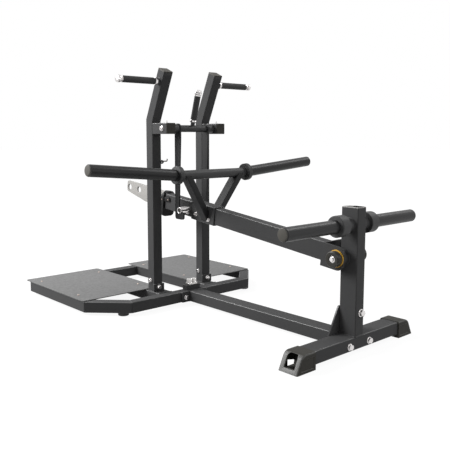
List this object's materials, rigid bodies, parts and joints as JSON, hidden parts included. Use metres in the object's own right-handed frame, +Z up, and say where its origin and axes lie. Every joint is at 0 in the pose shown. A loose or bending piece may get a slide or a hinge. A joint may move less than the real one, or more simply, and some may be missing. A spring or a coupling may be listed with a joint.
{
  "type": "belt squat machine",
  "caption": "Floor-standing plate-loaded machine: split foot platform, two handled uprights with a swinging catch, and a hinged loading lever with a belt plate.",
  "frame": {"origin": "on the floor, under the middle of the bounding box", "axes": "+X from the platforms towards the rear post, +Y across the machine, +Z up"},
  "size_m": [1.691, 1.3086, 1.1073],
  "materials": {
    "black_paint": "matt textured powder coat",
    "horn_black": "satin black",
    "plate_grey": "light grey, fine non-slip grain",
    "bare_steel": "satin plated plate",
    "plated_steel": "bright plating",
    "cap_plastic": "moulded warm dark grey",
    "rubber": "matt black",
    "orange_ring": "orange nylon washer"
  },
  "bodies": {
    "frame": {"belt_peg": "plated_steel", "catch_bracket_cap_left": "cap_plastic", "catch_bracket_cap_right": "cap_plastic", "catch_bracket_left": "black_paint", "catch_bracket_right": "black_paint", "corner_tube_left": "black_paint", "corner_tube_right": "black_paint", "foot_cap_left": "cap_plastic", "foot_cap_right": "cap_plastic", "foot_tube": "black_paint", "front_tube": "black_paint", "handle_bar_left": "plated_steel", "handle_bar_right": "plated_steel", "handle_grip_left": "rubber", "handle_grip_right": "rubber", "inner_rail_left": "black_paint", "inner_rail_right": "black_paint", "main_beam": "black_paint", "outer_rail_left": "black_paint", "outer_rail_right": "black_paint", "pivot_hub": "black_paint", "platform_left": "plate_grey", "platform_right": "plate_grey", "rear_post": "black_paint", "rear_tube": "black_paint", "rubber_foot_corner_left": "rubber", "rubber_foot_corner_right": "rubber", "rubber_foot_front_left": "rubber", "rubber_foot_front_right": "rubber", "stop_block": "black_paint", "stop_bolts": "plated_steel", "storage_horn_left": "horn_black", "storage_horn_right": "horn_black", "upright_bracket_left": "black_paint", "upright_bracket_right": "black_paint", "upright_cap_left": "cap_plastic", "upright_cap_right": "cap_plastic", "upright_left": "black_paint", "upright_right": "black_paint"},
    "lever": {"belt_plate": "bare_steel", "catch_pin": "plated_steel", "crossbar": "black_paint", "end_plate": "black_paint", "latch_rod": "horn_black", "lever_horn_left": "horn_black", "lever_horn_right": "horn_black", "lever_sleeve": "black_paint", "lever_tube": "black_paint", "lever_yoke": "black_paint", "pivot_cap_left": "cap_plastic", "pivot_cap_right": "cap_plastic", "pivot_ring_left": "orange_ring", "pivot_ring_right": "orange_ring", "pivot_shaft": "plated_steel", "strut_left": "black_paint", "strut_right": "black_paint"},
    "catch": {"catch_grip": "rubber", "catch_tube": "black_paint", "hook_left": "black_paint", "hook_right": "black_paint"}
  },
  "joints": [
    {"name": "lever_pivot", "type": "hinge", "parent": "frame", "child": "lever", "pos_m": [0.7725, 0, 0.3545], "axis": [0, 1, 0], "range_deg": [0, 17]},
    {"name": "catch_pivot", "type": "hinge", "parent": "frame", "child": "catch", "pos_m": [-0.1325, 0, 0.8355], "axis": [0, 1, 0], "range_deg": [0, 20]}
  ]
}
